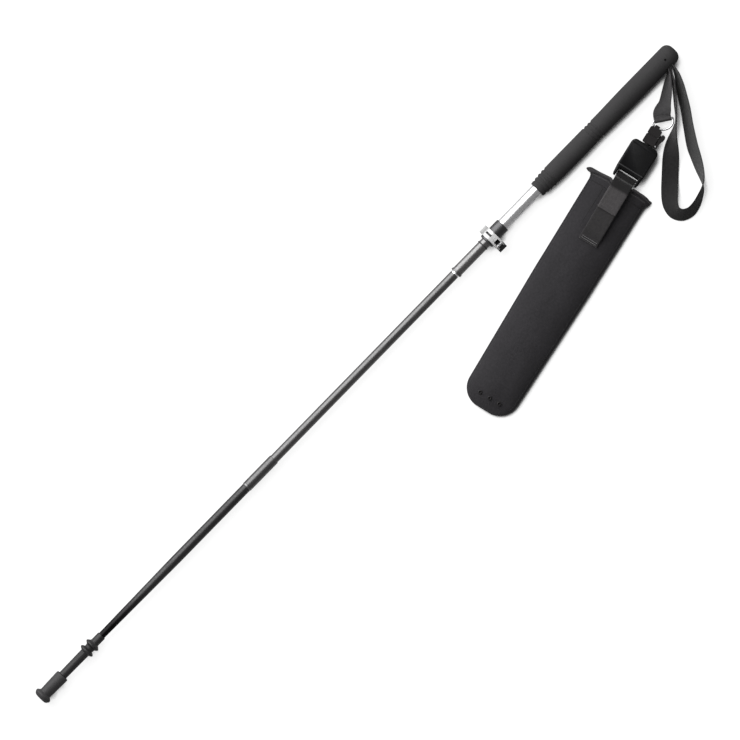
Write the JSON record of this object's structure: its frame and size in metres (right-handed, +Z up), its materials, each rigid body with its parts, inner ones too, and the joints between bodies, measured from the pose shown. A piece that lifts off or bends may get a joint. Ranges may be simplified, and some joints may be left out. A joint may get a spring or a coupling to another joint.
{
  "type": "folding wading staff",
  "caption": "Folding staff with a foam grip, lever clamp, wrist strap and rubber foot, tied by a retractable tether to a flat carrying holster with a belt loop.",
  "frame": {"origin": "centre of the rubber foot's flat tread face", "axes": "+X along the staff from the foot to the top of the grip, +Z up from the floor that the staff and its holster lie on, +Y away from the holster"},
  "size_m": [1.2995, 0.2141, 0.0306],
  "materials": {
    "foam": "matte closed-cell foam",
    "foot_rubber": "matte moulded rubber",
    "black_plastic": "satin black moulded plastic",
    "polished_aluminium": "polished",
    "dark_shaft": "wrapped carbon composite under a satin coat",
    "steel": "plain steel",
    "carbide": "ground carbide",
    "cord": "coated cord",
    "webbing": "woven nylon webbing",
    "neoprene": "laminated neoprene"
  },
  "bodies": {
    "handle": {"grip_foam": "foam", "grip_anchor": "black_plastic", "strap_pin": "steel", "handle_tube": "polished_aluminium", "clamp_collar": "black_plastic", "clamp_band": "polished_aluminium", "clamp_screw": "steel", "lever_pin": "steel", "wrist_strap": "webbing", "tether_webbing": "webbing"},
    "lever": {"lock_lever": "polished_aluminium"},
    "upper_shaft": {"upper_tube": "dark_shaft", "guide_bush": "black_plastic", "stop_ring": "foot_rubber", "upper_joint_ring": "polished_aluminium", "cord_upper": "cord", "cord_crimp_upper": "steel", "button_spring": "steel"},
    "snap_button": {"snap_button": "polished_aluminium"},
    "upper_link": {"cord_link_upper": "cord"},
    "middle_shaft": {"middle_tube": "dark_shaft", "middle_ferrule": "polished_aluminium", "middle_sleeve": "dark_shaft", "lower_joint_ring": "polished_aluminium", "cord_middle": "cord"},
    "lower_link": {"cord_link_lower": "cord"},
    "lower_shaft": {"lower_tube": "dark_shaft", "lower_ferrule": "polished_aluminium", "tension_spring": "steel", "cord_lower": "cord", "cord_crimp_lower": "steel", "tip_holder": "black_plastic", "carbide_tip": "carbide"},
    "foot": {"rubber_foot": "foot_rubber"},
    "d_ring": {"d_ring": "polished_aluminium"},
    "release_plug": {"release_plug": "black_plastic"},
    "release_socket": {"release_socket": "black_plastic", "latch_pin": "steel"},
    "release_latch": {"release_latch": "black_plastic"},
    "retractor": {"case_front": "black_plastic", "case_back": "black_plastic", "case_screw_left": "steel", "case_screw_right": "steel", "line_nozzle": "black_plastic", "spool_axle": "steel", "power_spring": "steel", "strap_bar": "polished_aluminium", "tether_line": "cord"},
    "line_spool": {"line_spool": "black_plastic"},
    "holster": {"holster_back": "neoprene", "holster_front": "neoprene", "rim_binding": "webbing", "holster_strip": "webbing", "drain_eyelet_left": "black_plastic", "drain_eyelet_centre": "black_plastic", "drain_eyelet_right": "black_plastic"}
  },
  "joints": [
    {"name": "lever_swing", "type": "hinge", "parent": "handle", "child": "lever", "pos_m": [0.9242, -0.0165, 0.0094], "axis": [1, 0, 0], "range_deg": [0, 110]},
    {"name": "length_slide", "type": "slide", "parent": "handle", "child": "upper_shaft", "axis": [-1, 0, 0], "range_m": [0, 0.15]},
    {"name": "button_press", "type": "slide", "parent": "upper_shaft", "child": "snap_button", "axis": [0, 0, 1], "range_m": [0, 0.0021], "stiffness_N_per_m": 600, "springref_m": -0.001, "deforming": ["button_spring"]},
    {"name": "upper_pull", "type": "slide", "parent": "upper_shaft", "child": "upper_link", "axis": [-1, 0, 0], "range_m": [0, 0.063], "deforming": ["cord_link_upper"]},
    {"name": "upper_fold", "type": "hinge", "parent": "upper_link", "child": "middle_shaft", "pos_m": [0.8516, 0, 0.013], "axis": [0, 1, 0], "range_deg": [0, 180]},
    {"name": "lower_pull", "type": "slide", "parent": "middle_shaft", "child": "lower_link", "axis": [-1, 0, 0], "range_m": [0, 0.063], "deforming": ["cord_link_lower"]},
    {"name": "lower_fold", "type": "hinge", "parent": "lower_link", "child": "lower_shaft", "pos_m": [0.423, 0.016, 0], "axis": [0, 0, -1], "range_deg": [0, 180]},
    {"name": "foot_pull", "type": "slide", "parent": "lower_shaft", "child": "foot", "axis": [-1, 0, 0], "range_m": [0, 0.05]},
    {"name": "ring_swing", "type": "hinge", "parent": "handle", "child": "d_ring", "pos_m": [1.2165, -0.0585, -0.0053], "axis": [-0.8251, 0.565, 0], "range_deg": [-30, 60]},
    {"name": "plug_swing", "type": "hinge", "parent": "d_ring", "child": "release_plug", "pos_m": [1.20147, -0.06127, -0.0053], "axis": [-0.2164, 0.9763, 0], "range_deg": [-45, 45]},
    {"name": "release_pull", "type": "slide", "parent": "release_plug", "child": "release_socket", "axis": [-0.9763, -0.2164, 0], "range_m": [0, 0.012]},
    {"name": "latch_squeeze", "type": "hinge", "parent": "release_socket", "child": "release_latch", "pos_m": [1.18081, -0.07804, -0.0053], "axis": [0, 0, 1], "range_deg": [0, 5], "stiffness_Nm_per_rad": 0.2, "springref_deg": -5.73},
    {"name": "tether_pull", "type": "slide", "parent": "release_socket", "child": "retractor", "axis": [-0.9763, -0.2164, 0], "range_m": [0, 0.9], "stiffness_N_per_m": 2, "springref_m": -1.5, "deforming": ["tether_line"]},
    {"name": "spool_turn", "type": "hinge", "parent": "retractor", "child": "line_spool", "pos_m": [1.1509, -0.07248, -0.0053], "axis": [0, 0, 1], "range_deg": [0, 4095]},
    {"name": "holster_swing", "type": "hinge", "parent": "retractor", "child": "holster", "pos_m": [1.11966, -0.07941, -0.0053], "axis": [-0.2164, 0.9763, 0], "range_deg": [-30, 60]}
  ],
  "couplings": [
    {"joint": "upper_pull", "follows": "upper_fold", "m_per_rad": 0.02},
    {"joint": "lower_pull", "follows": "lower_fold", "m_per_rad": 0.02},
    {"joint": "spool_turn", "follows": "tether_pull", "rad_per_m": 79.365}
  ]
}
